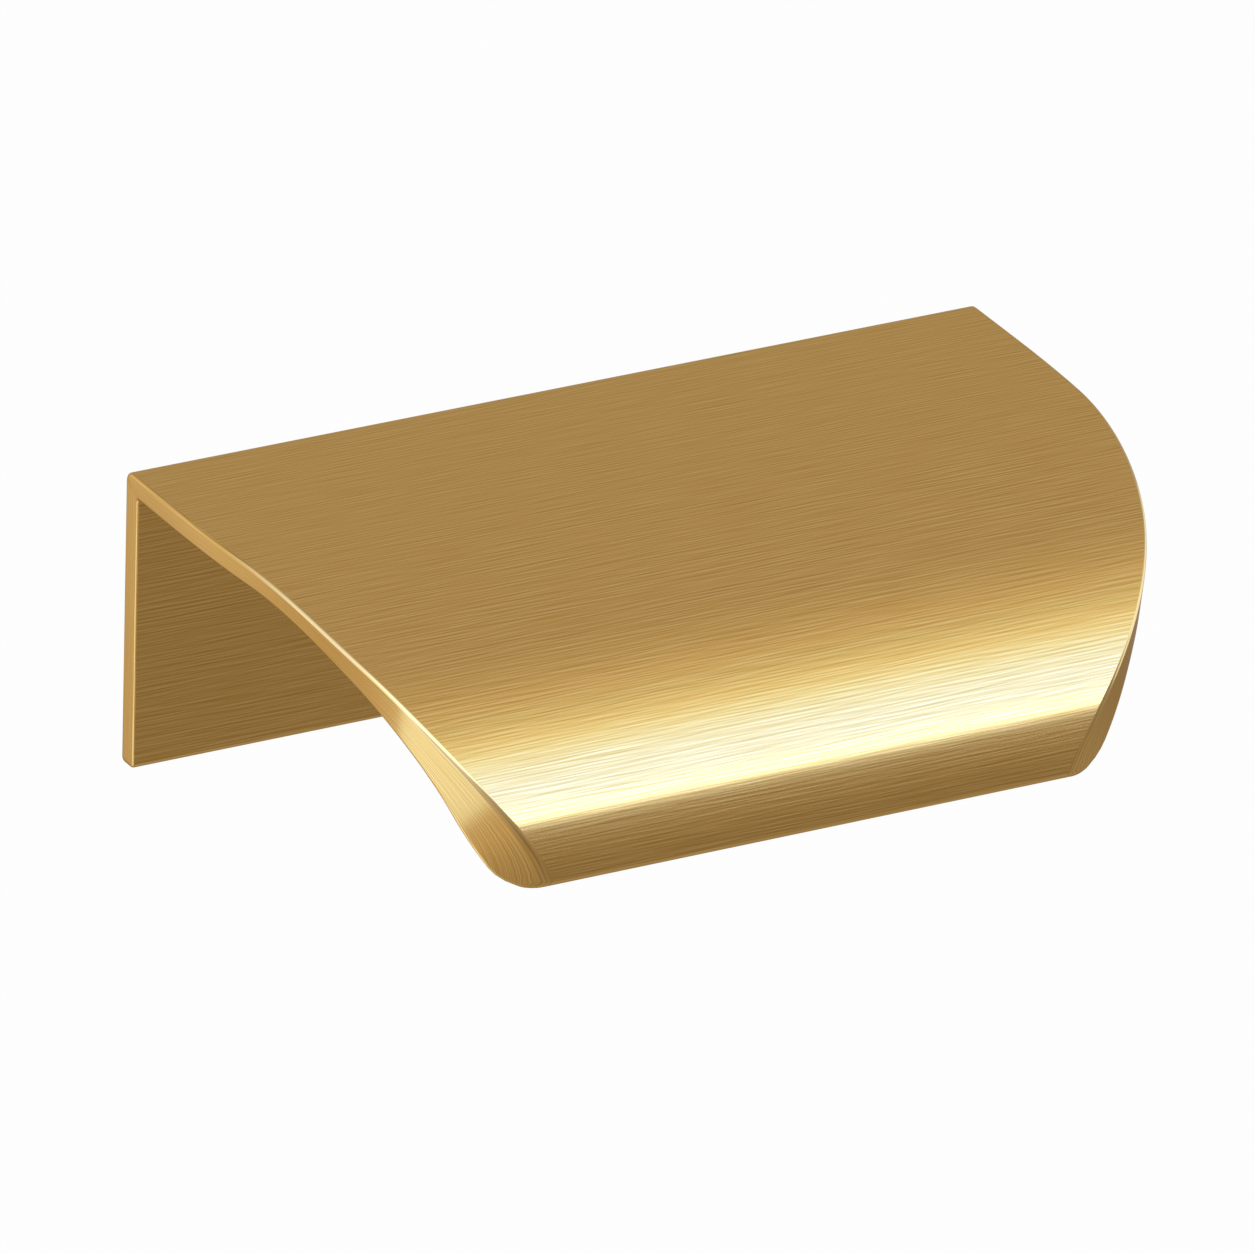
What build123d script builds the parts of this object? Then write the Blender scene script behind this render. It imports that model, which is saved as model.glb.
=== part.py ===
import os
from math import cos, hypot, radians, sin, tan

from build123d import *

# A one-piece edge pull for a cabinet door or drawer front, in millimetres.
# X runs along the pull, the lip points to -Y and Z is up.
# The origin is midway between the two screw holes, on the face that seats on the door's back.

# Section: a leg behind the door, a plate over its edge and a lip that turns down in front
length = 80.0
depth = 46.4
leg_height = 26.6
leg_thickness = 2.1
plate_thickness = 1.9
back_corner_radius = 0.9
foot_corner_radius = 0.5
inner_corner_radius = 0.3

# Outer curve: a wide arc off the plate, a tighter one down to the lip, then the lip's straight face
shoulder_radius = 40.0
shoulder_turn = 24.5
brow_radius = 17.8
lip_straight = 0.9

# Lip's tip: a tight nose in front and a wider heel behind it
nose_radius = 0.75
nose_turn = 128.0
heel_radius = 3.5

# Inner curve: it leaves the heel at an angle that thickens the lip, and runs out under the plate
throat_angle = 72.0
throat_radius = 16.5
run_out_radius = 28.5
run_out_turn = 28.0

# Ends: square along the leg, then swept in to a lip that is narrower than the leg
square_past_leg = 1.3
sweep_past_lip = 2.0
sweep_middle = 22.8
side_fullness = 0.75
front_sweep_fullness = 0.755
end_lean = 10.0
edge_radius = 0.2

# Countersunk screw holes through the leg, opened from the back
hole_spacing = 32.0
hole_diameter = 4.0
countersink_width = 1.5
countersink_angle = 90.0
hole_below_door_edge = 12.2

# Clearance of the cutting shapes past the solid
clear = 2.0

back_y = leg_thickness
front_y = back_y - depth
under_z = hole_below_door_edge
top_z = under_z + plate_thickness
foot_z = top_z - leg_height

# Where the outer curve starts, and the height of the nose's centre
turn = radians(shoulder_turn)
curve_y = front_y + brow_radius + (shoulder_radius - brow_radius) * sin(turn)
nose_z = top_z - shoulder_radius + (shoulder_radius - brow_radius) * cos(turn) - lip_straight

# The straight stretch of the inner curve takes up the height that the tip and its two arcs leave
throat = radians(throat_angle)
run_out = radians(run_out_turn)
heel_start = radians(nose_turn - 90)
tip_rise = (heel_radius - nose_radius) * cos(heel_start) - heel_radius * cos(throat)
throat_rise = throat_radius * (cos(run_out) - cos(throat))
run_out_rise = run_out_radius * (1 - cos(run_out))
throat_straight = (under_z - nose_z - tip_rise - throat_rise - run_out_rise) / sin(throat)

half_length = length / 2
half_middle = sweep_middle / 2
lean = tan(radians(end_lean))
cut_length = (leg_height + 2 * clear) * hypot(1, lean)
sweep_back_y = -lean * leg_height - square_past_leg
sweep_front_y = front_y - lean * (top_z - nose_z) - sweep_past_lip
side_handle_y = sweep_back_y + side_fullness * (sweep_front_y - sweep_back_y)
front_handle_x = half_middle + front_sweep_fullness * (half_length - half_middle)

with BuildPart() as edge_pull:
    # The section, drawn across the pull
    with BuildSketch(Plane.YZ.offset(-half_length)):
        with BuildLine():
            plate = Line((back_y, top_z), (curve_y, top_z))
            shoulder = JernArc(plate @ 1, plate % 1, shoulder_radius, shoulder_turn)
            brow = JernArc(shoulder @ 1, shoulder % 1, brow_radius, 90 - shoulder_turn)
            lip = Line(brow @ 1, (front_y, nose_z))
            nose = JernArc(lip @ 1, lip % 1, nose_radius, nose_turn)
            heel = JernArc(nose @ 1, nose % 1, heel_radius, 90 + throat_angle - nose_turn)
            inner_lip = PolarLine(heel @ 1, throat_straight, throat_angle)
            inner_brow = JernArc(inner_lip @ 1, inner_lip % 1, throat_radius, run_out_turn - throat_angle)
            inner_run = JernArc(inner_brow @ 1, inner_brow % 1, run_out_radius, -run_out_turn)
            Polyline(inner_run @ 1, (0, under_z), (0, foot_z), (back_y, foot_z), (back_y, top_z))
        make_face()
        fillet(vertices().sort_by_distance((0, foot_z))[0], foot_corner_radius)
        fillet(vertices().sort_by_distance((back_y, foot_z))[0], foot_corner_radius)
        fillet(vertices().sort_by_distance((back_y, top_z))[0], back_corner_radius)
        fillet(vertices().sort_by_distance((0, under_z))[0], inner_corner_radius)
    extrude(amount=length)

    # Both ends, swept in towards the lip by a cut that leans back as it goes down
    with BuildSketch(Plane((0, -lean * clear, top_z + clear))):
        with BuildLine():
            Line((half_length, back_y + clear), (half_length, sweep_back_y))
            Bezier(
                (half_length, sweep_back_y),
                (half_length, side_handle_y),
                (front_handle_x, sweep_front_y),
                (half_middle, sweep_front_y),
            )
            Line((half_middle, sweep_front_y), (0, sweep_front_y))
            mirror(about=Plane.YZ)
            Line((half_length, back_y + clear), (-half_length, back_y + clear))
        make_face()
    extrude(amount=cut_length, dir=(0, lean, -1), mode=Mode.INTERSECT)

    # Every edge around the two ends is eased, apart from the seam where the sweep starts
    seams = edges().filter_by(Axis((0, 0, 0), (0, lean, -1)))
    end_edges = edges().filter_by(Axis.X, reverse=True) - seams
    fillet(end_edges, edge_radius)

    # Screw holes
    with Locations(Plane((0, back_y, 0), x_dir=(1, 0, 0), z_dir=(0, 1, 0))):
        with GridLocations(hole_spacing, 0, 2, 1):
            CounterSinkHole(
                hole_diameter / 2,
                hole_diameter / 2 + countersink_width,
                depth=leg_thickness + clear,
                counter_sink_angle=countersink_angle,
            )

edge_pull.part.label = "edge_pull"

os.makedirs("parts", exist_ok=True)
export_step(edge_pull.part, "parts/edge_pull.step")
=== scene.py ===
from math import atan2, cos, hypot, pi, radians, sin, tan

import bmesh
import bpy
from mathutils import Matrix, Vector
from mathutils.geometry import interpolate_bezier


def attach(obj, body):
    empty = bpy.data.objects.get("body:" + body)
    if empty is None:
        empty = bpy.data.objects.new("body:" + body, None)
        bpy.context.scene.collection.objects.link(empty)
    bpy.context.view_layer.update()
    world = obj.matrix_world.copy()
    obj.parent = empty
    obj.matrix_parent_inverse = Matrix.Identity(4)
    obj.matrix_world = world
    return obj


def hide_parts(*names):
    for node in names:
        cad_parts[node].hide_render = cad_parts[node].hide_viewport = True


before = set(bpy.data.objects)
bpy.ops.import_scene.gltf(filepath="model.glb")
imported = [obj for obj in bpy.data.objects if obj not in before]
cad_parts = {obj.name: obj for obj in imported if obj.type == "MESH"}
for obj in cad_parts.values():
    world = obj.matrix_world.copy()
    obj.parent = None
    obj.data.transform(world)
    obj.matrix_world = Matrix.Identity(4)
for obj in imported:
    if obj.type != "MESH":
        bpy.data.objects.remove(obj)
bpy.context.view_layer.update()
mm = 0.001
scene = bpy.context.scene
scene.view_settings.view_transform = "Standard"
print("frame loaded:", ", ".join(sorted(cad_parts)))


def hexColour(text):  # sRGB hex to linear RGBA
    parts = [int(text[i:i + 2], 16) / 255 for i in (1, 3, 5)]
    return [p / 12.92 if p <= 0.04045 else ((p + 0.055) / 1.055) ** 2.4 for p in parts] + [1.0]


def addNode(tree, kind, settings=None, values=None, links=None):
    node = tree.nodes.new(kind)
    for name, value in (settings or {}).items():
        setattr(node, name, value)
    for socket, value in (values or {}).items():
        node.inputs[socket].default_value = value
    for socket, source in (links or {}).items():
        tree.links.new(source, node.inputs[socket])
    return node


def newMaterial(name):
    material = bpy.data.materials.new(name)
    material.use_nodes = True
    material.node_tree.nodes.clear()
    return material, material.node_tree


def newObject(name, bm, material):
    mesh = bpy.data.meshes.new(name)
    bm.to_mesh(mesh)
    bm.free()
    mesh.materials.append(material)
    obj = bpy.data.objects.new(name, mesh)
    scene.collection.objects.link(obj)
    return obj


# Edge pull, sizes in mm and degrees
edgePull = {
    "length": 80.0,
    "depth": 46.4,
    "legHeight": 26.6,
    "legThick": 2.1,
    "plateThick": 1.9,
    "plateTop": 14.1,
    "backCorner": 0.9,
    "footCorner": 0.5,
    "innerCorner": 0.3,
    "shoulderRadius": 40.0,
    "shoulderTurn": 24.5,
    "browRadius": 17.8,
    "lipStraight": 0.9,
    "noseRadius": 0.75,
    "noseTurn": 128.0,
    "heelRadius": 3.5,
    "throatAngle": 72.0,
    "throatRadius": 16.5,
    "runOutRadius": 28.5,
    "runOutTurn": 28.0,
    "squarePastLeg": 1.3,
    "sweepPastLip": 2.0,
    "sweepMiddle": 22.8,
    "sideFullness": 0.75,
    "frontFullness": 0.755,
    "endLean": 10.0,
    "sweepSteps": 400,
    "edgeRound": 0.3,
    "edgeSteps": 4,
    "innerSide": 0.5,  # across an end face, past which a point is on its inner line
    "paintedHighlightBack": -16.0,  # a highlight is painted on the upper edge of both ends, starting here
    "paintedHighlightFull": -26.0,  # fully from here to the front
    "paintedHighlightTop": 4.0,  # fully down to this height
    "paintedHighlightLow": -3.0,  # and not at all below this one
    "endLines": 2.0,  # brush lines on the end faces are this much finer
    "holeSpacing": 32.0,
    "holeRadius": 2.0,
    "countersink": 1.5,
    "holePatch": 4.8,  # half side of the square that each hole is set in
    "patchRim": 0.6,
    "holeSides": 32,
    "sharpAngle": 32.0,  # edges sharper than this stay crisp
}


def lipDrop(p):  # from the plate's top to the centre of the nose
    turn = radians(p["shoulderTurn"])
    return p["shoulderRadius"] - (p["shoulderRadius"] - p["browRadius"]) * cos(turn) + p["lipStraight"]


def sectionRoute(p):
    # runs (mm, pieces) and bends (radius, degrees, pieces)
    # from the foot up the back, over to the lip and home underneath
    # the way home has as many pieces as the way out, and each lies about opposite its partner
    turn, run, throat = radians(p["shoulderTurn"]), radians(p["runOutTurn"]), radians(p["throatAngle"])
    heelStart, heelTurn = radians(p["noseTurn"] - 90), 90 + p["throatAngle"] - p["noseTurn"]
    nose, heel = p["noseRadius"], p["heelRadius"]
    flat = p["depth"] - p["browRadius"] - (p["shoulderRadius"] - p["browRadius"]) * sin(turn)
    rise = lipDrop(p) - p["plateThick"] - (heel - nose) * cos(heelStart) + heel * cos(throat)
    rise -= p["throatRadius"] * (cos(run) - cos(throat)) + p["runOutRadius"] * (1 - cos(run))
    straight = rise / sin(throat)
    inward = nose - (heel - nose) * sin(heelStart) + heel * sin(throat) + straight * cos(throat)
    inward += p["throatRadius"] * (sin(throat) - sin(run)) + p["runOutRadius"] * sin(run)
    underFlat = p["depth"] - p["legThick"] - inward
    foot, back, inner = p["footCorner"], p["backCorner"], p["innerCorner"]
    return [
        ("bend", foot, 90, 4),
        ("run", p["legHeight"] - foot - back, 1),
        ("bend", back, 90, 6),
        ("run", flat - back, 9),
        ("bend", p["shoulderRadius"], p["shoulderTurn"], 20),
        ("bend", p["browRadius"], 90 - p["shoulderTurn"], 24),
        ("run", p["lipStraight"], 1),
        ("bend", nose, p["noseTurn"], 13),
        ("bend", heel, heelTurn, 3),
        ("run", straight, 7),
        ("bend", p["throatRadius"], p["runOutTurn"] - p["throatAngle"], 17),
        ("bend", p["runOutRadius"], -p["runOutTurn"], 18),
        ("run", underFlat - inner, 9),
        ("bend", inner, -90, 6),
        ("run", p["legHeight"] - p["plateThick"] - inner - foot, 1),
        ("bend", foot, 90, 4),
    ]


def drawSection(bm, p):
    tip = bm.verts.new((0, p["legThick"] - p["footCorner"], p["plateTop"] - p["legHeight"]))
    heading = 0.0
    ring = [tip]
    for step in sectionRoute(p):
        ahead = Vector((0, cos(heading), sin(heading)))
        if step[0] == "run":
            for _ in range(step[2]):
                tip = bmesh.ops.extrude_vert_indiv(bm, verts=[tip])["verts"][0]
                bmesh.ops.translate(bm, verts=[tip], vec=ahead * step[1] / step[2])
                ring.append(tip)
            continue
        left = Vector((0, -ahead.z, ahead.y)) * (1 if step[2] > 0 else -1)
        centre = tip.co + left * step[1]
        for _ in range(step[3]):
            angle = radians(step[2]) / step[3]
            spun = bmesh.ops.spin(bm, geom=[tip], cent=centre, axis=(1, 0, 0), angle=angle, steps=1)
            tip = [e for e in spun["geom_last"] if isinstance(e, bmesh.types.BMVert)][0]
            ring.append(tip)
        heading += radians(step[2])
    bmesh.ops.contextual_create(bm, geom=[ring[0], ring[-1]])
    return ring


def paintedHighlightShare(p, place):  # 1 where an edge gets the full painted highlight, 0 where it is left as brushed
    forward = (place.y - p["paintedHighlightBack"]) / (p["paintedHighlightFull"] - p["paintedHighlightBack"])
    upward = (place.z - p["paintedHighlightLow"]) / (p["paintedHighlightTop"] - p["paintedHighlightLow"])
    return max(0.0, min(1.0, forward, upward))


def easeRim(bm, p, face, brush, ease, paintedHighlightMask):
    # insets in the flat section, each set back less than the last, make the rounding round both ends
    face.normal_update()
    for v in face.verts:
        v[ease] = p["edgeRound"]
    inset = 0.0
    for step in range(1, p["edgeSteps"] + 1):
        angle = pi / 2 * step / p["edgeSteps"]
        shift = p["edgeRound"] * (1 - cos(angle)) - inset
        inset += shift
        bmesh.ops.inset_region(bm, faces=[face], thickness=shift, use_boundary=True, use_even_offset=True)
        for v in face.verts:
            girth, along, across = v[brush]
            inner = across > p["innerSide"]
            v[brush] = (girth, along, across - shift if inner else across + shift)
            v[ease] = p["edgeRound"] * (1 - sin(angle))
            # painted highlight on the upper edge of the ends, stronger towards the front and gone low down
            v[paintedHighlightMask] = paintedHighlightShare(p, v.co) if not inner and step < p["edgeSteps"] else 0.0
    return sorted(face.verts, key=lambda v: v[brush].x)


def sweepEnds(bm, p, farEnd, ease):
    # square along the leg, then swept in by a cut that leans back as it goes down
    lean = tan(radians(p["endLean"]))
    halfLength, halfMiddle = p["length"] / 2, p["sweepMiddle"] / 2
    start = p["legThick"] + lean * p["legHeight"] + p["squarePastLeg"]
    end = p["depth"] + lean * lipDrop(p) + p["sweepPastLip"]
    sweep = interpolate_bezier(
        Vector((start, halfLength)),
        Vector((start + p["sideFullness"] * (end - start), halfLength)),
        Vector((end, halfMiddle + p["frontFullness"] * (halfLength - halfMiddle))),
        Vector((end, halfMiddle)),
        p["sweepSteps"],
    )
    for v in bm.verts:
        along = p["legThick"] - v.co.y + lean * (p["plateTop"] - v.co.z)
        reach = halfLength
        if along > start:
            a, b = next(pair for pair in zip(sweep, sweep[1:]) if pair[1].x >= along)
            reach = a.y + (b.y - a.y) * (along - a.x) / max(b.x - a.x, 1e-9)
        reach -= v[ease]
        v.co.x = reach if v in farEnd else -reach


def legFaces(bm):  # flat faces on the front and back of the leg, without the lip's
    squareOn, furthest = 0.99, -0.5
    return [f for f in bm.faces if abs(f.normal.y) > squareOn and f.calc_center_median().y > furthest]


def sink(bm, face, spot, depth, shrink):
    face = bmesh.ops.extrude_discrete_faces(bm, faces=[face])["faces"][0]
    bmesh.ops.scale(bm, vec=(shrink, 1, shrink), space=Matrix.Translation(-spot), verts=face.verts[:])
    bmesh.ops.translate(bm, vec=(0, -depth, 0), verts=face.verts[:])
    return face


def drillHole(bm, p, x, brush):
    # a square patch of the leg gets a round mouth on both sides, which is sunk from the back to the front
    patch, mouthRadius = p["holePatch"], p["holeRadius"] + p["countersink"]
    for co, no in (
        ((x - patch, 0, 0), (1, 0, 0)), ((x + patch, 0, 0), (1, 0, 0)),
        ((0, 0, -patch), (0, 0, 1)), ((0, 0, patch), (0, 0, 1)),
    ):
        leg = legFaces(bm)
        legEdges = list(dict.fromkeys(e for f in leg for e in f.edges))  # each once, in order
        legVerts = list(dict.fromkeys(v for f in leg for v in f.verts))
        bmesh.ops.bisect_plane(bm, geom=leg + legEdges + legVerts, dist=1e-5, plane_co=co, plane_no=no)
    mouths = []
    for y, radius in ((p["legThick"], mouthRadius), (0.0, p["holeRadius"])):
        spot = Vector((x, y, 0))
        face = min(legFaces(bm), key=lambda f: (f.calc_center_median() - spot).length)
        corner = face.verts[0]
        girth, height, climb = corner[brush].x, corner.co.z, 1 if y > 0 else -1
        edges = face.edges[:]
        bmesh.ops.delete(bm, geom=[face], context="FACES_ONLY")
        cut = bmesh.ops.subdivide_edges(bm, edges=edges, cuts=p["holeSides"] // 4 - 1)["geom_split"]
        square = list(dict.fromkeys(e for e in cut if isinstance(e, bmesh.types.BMEdge) and e.is_boundary))
        face = bmesh.ops.edgeloop_fill(bm, edges=square)["faces"][0]
        face.normal_update()
        bmesh.ops.inset_region(
            bm, faces=[face], thickness=p["patchRim"], use_boundary=True, use_even_offset=True,
        )
        for v in face.verts:
            v.co = spot + (v.co - spot).normalized() * radius
            v[brush] = (girth + climb * (v.co.z - height), 0, 0)
        mouths.append(face)
    back = Vector((x, p["legThick"], 0))
    cone = sink(bm, mouths[0], back, p["countersink"], p["holeRadius"] / mouthRadius)
    bore = sink(bm, cone, back, p["legThick"] - p["countersink"], 1.0)
    rims = bore.verts[:] + mouths[1].verts[:]
    bmesh.ops.delete(bm, geom=[bore, mouths[1]], context="FACES_ONLY")
    bmesh.ops.remove_doubles(bm, verts=rims, dist=1e-3)


def layBrushLines(bm, p, brush):
    # along the pull, along both end faces and round the holes
    uv = bm.loops.layers.uv.new("brush")
    mouth = p["holeRadius"] + p["countersink"] + 0.01  # just past the countersink
    for f in bm.faces:
        f.smooth = True
        centre = f.calc_center_median()
        hub = Vector((p["holeSpacing"] / 2 * (1 if centre.x > 0 else -1), 0, 0))
        spoke = centre - hub
        drilled = all(hypot(v.co.x - hub.x, v.co.z) < mouth for v in f.verts)
        oneSide = len({v.co.x > 0 for v in f.verts}) == 1
        atEnd = len(f.verts) == 4 and oneSide and all(abs(v.co.x) > p["sweepMiddle"] for v in f.verts)
        for loop in f.loops:
            run, arm = loop.vert[brush], loop.vert.co - hub
            if drilled:
                lead = spoke.xz.angle_signed(arm.xz)
                loop[uv].uv = (p["holeRadius"] * (atan2(spoke.z, spoke.x) - lead), arm.y)
            elif atEnd:
                loop[uv].uv = (run.y, p["endLines"] * run.z)
            else:
                loop[uv].uv = (loop.vert.co.x, run.x)


def buildEdgePull(p):
    bm = bmesh.new()
    # brush layer: length round the section, length along an end face, distance across it
    brush = bm.verts.layers.float_vector.new("brushRun")
    ease = bm.verts.layers.float.new("rimSetback")
    # rim layer: where a highlight is painted on the upper edges of the ends
    paintedHighlightMask = bm.verts.layers.float.new("rimPaintedHighlight")
    ring = drawSection(bm, p)
    girth = 0.0
    for i, v in enumerate(ring):
        girth += (v.co - ring[i - 1].co).length if i else 0.0
        v[brush] = (girth, girth, 0.0)
    for outer, inner in zip(ring[:len(ring) // 2], reversed(ring)):
        inner[brush] = (inner[brush].x, outer[brush].x, (inner.co - outer.co).length)
    face = bmesh.ops.contextual_create(bm, geom=bm.edges[:])["faces"][0]

    # the end face is split into quads from its outer line to its inner one
    rim = easeRim(bm, p, face, brush, ease, paintedHighlightMask)
    for outer, inner in list(zip(rim[:len(rim) // 2], reversed(rim)))[1:-1]:
        shared = next(f for f in outer.link_faces if f in inner.link_faces)
        bmesh.utils.face_split(shared, outer, inner)
    grown = bmesh.ops.extrude_face_region(bm, geom=bm.faces[:])["geom"]
    sweepEnds(bm, p, {e for e in grown if isinstance(e, bmesh.types.BMVert)}, ease)
    bmesh.ops.recalc_face_normals(bm, faces=bm.faces[:])

    for side in (-1, 1):
        drillHole(bm, p, side * p["holeSpacing"] / 2, brush)
    bmesh.ops.recalc_face_normals(bm, faces=bm.faces[:])
    layBrushLines(bm, p, brush)
    openEdges = sum(not e.is_manifold for e in bm.edges)
    volume = round(bm.calc_volume(), 1)
    print("edge pull:", len(bm.faces), "faces,", openEdges, "open edges, volume", volume, "mm3")
    bmesh.ops.scale(bm, vec=(mm, mm, mm), verts=bm.verts[:])
    return bm


# Satin brass, brushed lengthways: fine lines break the gloss into streaks and stretch it across them
brass = {
    "colour": "#E4B569",
    "pale": "#F1C983",
    "deep": "#D09F53",
    "paintedHighlightColour": "#FBE3AE",  # painted highlight on the upper edges of the ends, a pale cream
    "edgeTint": "#F8EAD1",  # brass keeps its warmth at a slant
    "roughness": 0.16,
    "highlightRimRoughness": 0.13,
    "anisotropic": 0.5,
    "anisotropicTurn": 0.25,  # of a full turn, from along the lines to across them
    "lineGap": 0.2,  # mm between brush lines; real grit lines are finer and would not show in the picture
    "lineLength": 7.0,
    "flankShift": 0.5,  # each line has a bright and a dark flank, this part of a gap apart
    "flankShare": 0.7,  # the rest stays as wider, softer streaks
    "toneSpread": 0.25,  # a lower spread gives stronger lines
    "glossSpread": 0.4,
    "glossSwing": 0.012,
    "lineDepth": 0.006,  # mm
    "lineStrength": 0.04,
}


def brushedBrass(p):
    material, tree = newMaterial("brushedBrass")
    uv = addNode(tree, "ShaderNodeUVMap", {"uv_map": "brush"})
    flanks = []
    for shift in (0.0, p["flankShift"]):
        spread = addNode(
            tree, "ShaderNodeMapping",
            values={"Location": (0, shift, 0), "Scale": (1 / p["lineLength"], 1 / p["lineGap"], 1)},
            links={"Vector": uv.outputs["UV"]},
        )
        flanks.append(addNode(
            tree, "ShaderNodeTexNoise", values={"Scale": 1.0, "Detail": 1.0, "Roughness": 0.5},
            links={"Vector": spread.outputs["Vector"]},
        ))
    both = addNode(
        tree, "ShaderNodeMath", {"operation": "MULTIPLY_ADD"}, {1: -p["flankShare"]},
        {0: flanks[1].outputs["Fac"], 2: flanks[0].outputs["Fac"]},
    )
    middle = (1 - p["flankShare"]) / 2
    tone = addNode(
        tree, "ShaderNodeMapRange",
        values={1: middle - p["toneSpread"], 2: middle + p["toneSpread"], 3: 0.0, 4: 1.0},
        links={0: both.outputs[0]},
    )
    ramp = addNode(tree, "ShaderNodeValToRGB", links={"Fac": tone.outputs["Result"]})
    ramp.color_ramp.elements[0].color = hexColour(p["deep"])
    ramp.color_ramp.elements[1].color = hexColour(p["pale"])
    ramp.color_ramp.elements.new(0.5).color = hexColour(p["colour"])
    # painted highlight: the upper edges of the ends are mixed to a pale cream and made glossier
    paintedHighlightMask = addNode(tree, "ShaderNodeAttribute", {"attribute_name": "rimPaintedHighlight"})
    skin = addNode(
        tree, "ShaderNodeMix", {"data_type": "RGBA"}, {7: hexColour(p["paintedHighlightColour"])},
        {0: paintedHighlightMask.outputs["Fac"], 6: ramp.outputs["Color"]},
    )
    gloss = addNode(
        tree, "ShaderNodeMapRange",
        values={
            1: middle - p["glossSpread"], 2: middle + p["glossSpread"],
            3: p["roughness"] - p["glossSwing"], 4: p["roughness"] + p["glossSwing"],
        },
        links={0: both.outputs[0]},
    )
    shine = addNode(
        tree, "ShaderNodeMath", {"operation": "MULTIPLY_ADD"}, {1: p["highlightRimRoughness"] - p["roughness"]},
        {0: paintedHighlightMask.outputs["Fac"], 2: gloss.outputs["Result"]},
    )
    bump = addNode(
        tree, "ShaderNodeBump", values={"Strength": p["lineStrength"], "Distance": p["lineDepth"] * mm},
        links={"Height": both.outputs[0]},
    )
    tangent = addNode(tree, "ShaderNodeTangent", {"direction_type": "UV_MAP", "uv_map": "brush"})
    shader = addNode(
        tree, "ShaderNodeBsdfPrincipled",
        values={
            "Metallic": 1.0, "Specular Tint": hexColour(p["edgeTint"]),
            "Anisotropic": p["anisotropic"], "Anisotropic Rotation": p["anisotropicTurn"],
        },
        links={
            "Base Color": skin.outputs[2], "Roughness": shine.outputs[0],
            "Normal": bump.outputs["Normal"], "Tangent": tangent.outputs["Tangent"],
        },
    )
    addNode(tree, "ShaderNodeOutputMaterial", links={"Surface": shader.outputs["BSDF"]})
    return material


pull = newObject("brushed_edge_pull", buildEdgePull(edgePull), brushedBrass(brass))
pull.data.set_sharp_from_angle(angle=radians(edgePull["sharpAngle"]))
evenOut = pull.modifiers.new("evenNormals", "WEIGHTED_NORMAL")
evenOut.keep_sharp = True
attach(pull, "root")
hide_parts("edge_pull")
print("edge pull ready")


# Stage, in metres: a white floor, and a round light tent along the pull that only its polish sees
stage = {
    "floorDepth": 0.45,
    "floorSize": 8.0,
    "floorColour": "#F7F7F5",
    "floorGlow": 0.95,
    "skyLight": 0.75,
    "tentRadius": 0.4,
    "tentHalfLength": 0.8,
    "tentSides": 96,
    "tentPeak": 8.0,
    # tint of the cloth from each level up: dim cloth is warm, and the bright strip is bluer daylight,
    # so that brass shows cream in it and not a clipped yellow
    "tints": [
        (0.0, "#FFF8EC"), (0.40, "#FFFFFF"), (0.8, "#ECFAFF"), (1.5, "#BDDAFF"),
        (3.0, "#9DBDFF"), (4.5, "#8FB0FF"), (7.0, "#B3CFFF"),
    ],
    # degrees round the pull from the front horizon up over the top, and how bright the cloth is there
    "around": [
        (-180, 0.50), (-160, 0.46), (-152, 0.43), (-145, 0.36), (-134, 0.35), (-120, 0.37), (-100, 0.42),
        (-80, 0.45), (-60, 0.42), (-46, 0.36), (-26, 0.32), (-20, 0.37), (-12, 0.41), (0.8, 0.44),
        (1.3, 8.0), (3.5, 7.0), (5.5, 5.0), (10, 4.7), (16, 4.6), (26, 3.6), (34, 2.3),
        (42, 1.25), (52, 0.95), (62, 0.74), (72, 0.62), (92, 0.53), (120, 0.51), (180, 0.50),
    ],
    # metres along the pull, and how much brighter or dimmer the cloth is there
    "along": [(-0.8, 1.8), (-0.25, 1.8), (-0.2, 1.4), (-0.08, 1.0), (0.28, 1.0), (0.36, 0.9), (0.8, 0.9)],
    # metres along the pull, and the brightest that the cloth may be there: the strip fades out at both ends
    "brightest": [(-0.8, 1.6), (0.03, 1.6), (0.1, 8.0), (0.27, 8.0), (0.33, 1.2), (0.8, 1.2)],
    "fillPlace": (-0.325, -0.105, -0.227),  # a small soft lamp low on the left, for the end of the lip
    "fillAim": (-0.028, -0.033, 0.0),
    "fillWidth": 0.25,
    "fillPower": 0.185,
    "fillColour": "#9CC9FF",
}


def seenByViewer(tree):
    # 1 for what the camera, gloss and glass see, 0 for light that falls on a surface
    path = addNode(tree, "ShaderNodeLightPath")
    direct = addNode(
        tree, "ShaderNodeMath", {"operation": "MAXIMUM"},
        links={0: path.outputs["Is Camera Ray"], 1: path.outputs["Is Glossy Ray"]},
    )
    return addNode(
        tree, "ShaderNodeMath", {"operation": "MAXIMUM"},
        links={0: direct.outputs[0], 1: path.outputs["Is Transmission Ray"]},
    )


def whiteFloor(p):
    material, tree = newMaterial("whitePaperFloor")
    seen = seenByViewer(tree)
    share = addNode(
        tree, "ShaderNodeMath", {"operation": "MULTIPLY"}, {1: p["floorGlow"]}, {0: seen.outputs[0]},
    )
    paper = addNode(tree, "ShaderNodeBsdfDiffuse", values={"Color": hexColour(p["floorColour"])})
    glow = addNode(tree, "ShaderNodeEmission", values={"Color": (1, 1, 1, 1), "Strength": 1.0})
    mixed = addNode(
        tree, "ShaderNodeMixShader",
        links={0: share.outputs[0], 1: paper.outputs["BSDF"], 2: glow.outputs["Emission"]},
    )
    addNode(tree, "ShaderNodeOutputMaterial", links={"Surface": mixed.outputs["Shader"]})
    return material


def setStops(node, stops):
    elements = node.color_ramp.elements
    elements.remove(elements[1])
    for i, (position, colour) in enumerate(stops):
        element = elements.new(position) if i else elements[0]
        element.position = position
        element.color = colour


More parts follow.
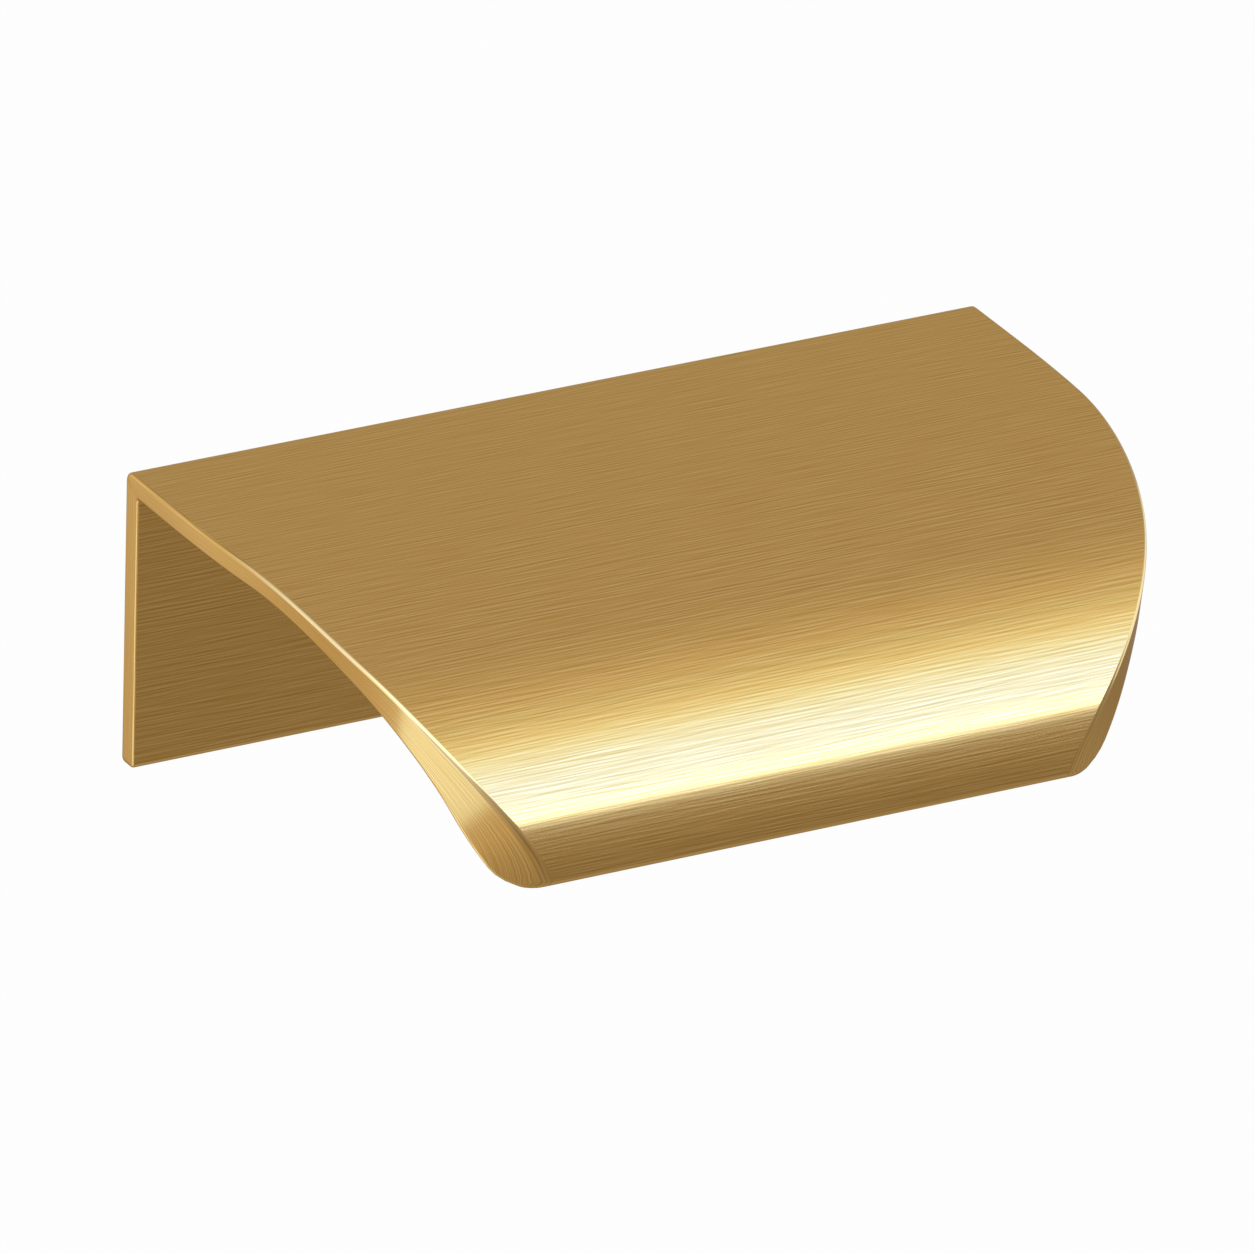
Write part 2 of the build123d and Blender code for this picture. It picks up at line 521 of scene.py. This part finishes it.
def tentCloth(p):
    material, tree = newMaterial("lightTentCloth")
    place = addNode(tree, "ShaderNodeTexCoord")
    axes = addNode(tree, "ShaderNodeSeparateXYZ", links={0: place.outputs["Object"]})
    front = addNode(tree, "ShaderNodeMath", {"operation": "MULTIPLY"}, {1: -1.0}, {0: axes.outputs["Y"]})
    angle = addNode(
        tree, "ShaderNodeMath", {"operation": "ARCTAN2"}, links={0: axes.outputs["Z"], 1: front.outputs[0]},
    )
    turn = addNode(
        tree, "ShaderNodeMapRange", values={1: -pi, 2: pi, 3: 0.0, 4: 1.0}, links={0: angle.outputs[0]},
    )
    around = addNode(tree, "ShaderNodeValToRGB", links={"Fac": turn.outputs["Result"]})
    stops = []
    for degrees, level in p["around"]:
        tint = [hexColour(colour) for least, colour in p["tints"] if level >= least][-1]
        stops.append(((degrees + 180) / 360, [level / p["tentPeak"] * c for c in tint]))
    setStops(around, stops)
    half = p["tentHalfLength"]
    reach = addNode(
        tree, "ShaderNodeMapRange", values={1: -half, 2: half, 3: 0.0, 4: 1.0}, links={0: axes.outputs["X"]},
    )
    along = addNode(tree, "ShaderNodeValToRGB", links={"Fac": reach.outputs["Result"]})
    most = addNode(tree, "ShaderNodeValToRGB", links={"Fac": reach.outputs["Result"]})
    for node, levels in ((along, p["along"]), (most, p["brightest"])):
        setStops(node, [
            ((x + half) / (2 * half), [level / p["tentPeak"]] * 3 + [1.0]) for x, level in levels
        ])
    both = addNode(
        tree, "ShaderNodeVectorMath", {"operation": "MULTIPLY"},
        links={0: around.outputs["Color"], 1: along.outputs["Color"]},
    )
    lit = addNode(
        tree, "ShaderNodeVectorMath", {"operation": "SCALE"},
        {"Scale": p["tentPeak"] ** 2}, {0: both.outputs[0]},
    )
    limit = addNode(
        tree, "ShaderNodeVectorMath", {"operation": "SCALE"},
        {"Scale": p["tentPeak"]}, {0: most.outputs["Color"]},
    )
    held = addNode(
        tree, "ShaderNodeVectorMath", {"operation": "MINIMUM"},
        links={0: lit.outputs[0], 1: limit.outputs[0]},
    )
    glow = addNode(tree, "ShaderNodeEmission", values={"Strength": 1.0}, links={"Color": held.outputs[0]})
    addNode(tree, "ShaderNodeOutputMaterial", links={"Surface": glow.outputs["Emission"]})
    return material


floorMesh = bmesh.new()
bmesh.ops.create_grid(floorMesh, x_segments=1, y_segments=1, size=stage["floorSize"] / 2)
bmesh.ops.translate(floorMesh, verts=floorMesh.verts[:], vec=(0, 0, -stage["floorDepth"]))
floor = newObject("floor", floorMesh, whiteFloor(stage))

tentMesh = bmesh.new()
bmesh.ops.create_circle(
    tentMesh, segments=stage["tentSides"], radius=stage["tentRadius"],
    matrix=Matrix.Translation((-stage["tentHalfLength"], 0, 0)) @ Matrix.Rotation(pi / 2, 4, "Y"),
)
wall = bmesh.ops.extrude_edge_only(tentMesh, edges=tentMesh.edges[:])["geom"]
farRim = [e for e in wall if isinstance(e, bmesh.types.BMVert)]
bmesh.ops.translate(tentMesh, verts=farRim, vec=(2 * stage["tentHalfLength"], 0, 0))
tent = newObject("lightTent", tentMesh, tentCloth(stage))
tent.visible_camera = False
tent.visible_diffuse = False
tent.visible_shadow = False

fillData = bpy.data.lights.new("endFill", "AREA")
fillData.shape = "DISK"
fillData.size = stage["fillWidth"]
fillData.energy = stage["fillPower"]
fillData.color = hexColour(stage["fillColour"])[:3]
fill = bpy.data.objects.new("endFill", fillData)
scene.collection.objects.link(fill)
fill.location = stage["fillPlace"]
towards = Vector(stage["fillAim"]) - Vector(stage["fillPlace"])
fill.rotation_euler = towards.to_track_quat("-Z", "Y").to_euler()

world = bpy.data.worlds.new("studio")
scene.world = world
world.use_nodes = True
tree = world.node_tree
tree.nodes.clear()
seen = seenByViewer(tree)
level = addNode(
    tree, "ShaderNodeMapRange",
    values={1: 0.0, 2: 1.0, 3: stage["skyLight"], 4: 1.0}, links={0: seen.outputs[0]},
)
sky = addNode(
    tree, "ShaderNodeBackground", values={"Color": (1, 1, 1, 1)}, links={"Strength": level.outputs["Result"]},
)
addNode(tree, "ShaderNodeOutputWorld", links={"Surface": sky.outputs["Background"]})
print("stage ready")


# Camera at the photograph's angle, sizes in mm and degrees
view = {
    "aim": (-4.467, -19.997, 2.050),
    "distance": 1751.7,
    "azimuth": 28.868,
    "elevation": 25.012,
    "roll": 1.598,
    "lens": 607.2,
}
cameraData = bpy.data.cameras.new("photoCamera")
cameraData.lens = view["lens"]
camera = bpy.data.objects.new("photoCamera", cameraData)
scene.collection.objects.link(camera)
turn = Matrix.Rotation(radians(-view["azimuth"]), 4, "Z")
turn = turn @ Matrix.Rotation(radians(90 - view["elevation"]), 4, "X")
turn = turn @ Matrix.Rotation(radians(view["roll"]), 4, "Z")
backOff = Matrix.Translation((0, 0, view["distance"] * mm))
camera.matrix_world = Matrix.Translation(Vector(view["aim"]) * mm) @ turn @ backOff
scene.camera = camera
print("camera ready")
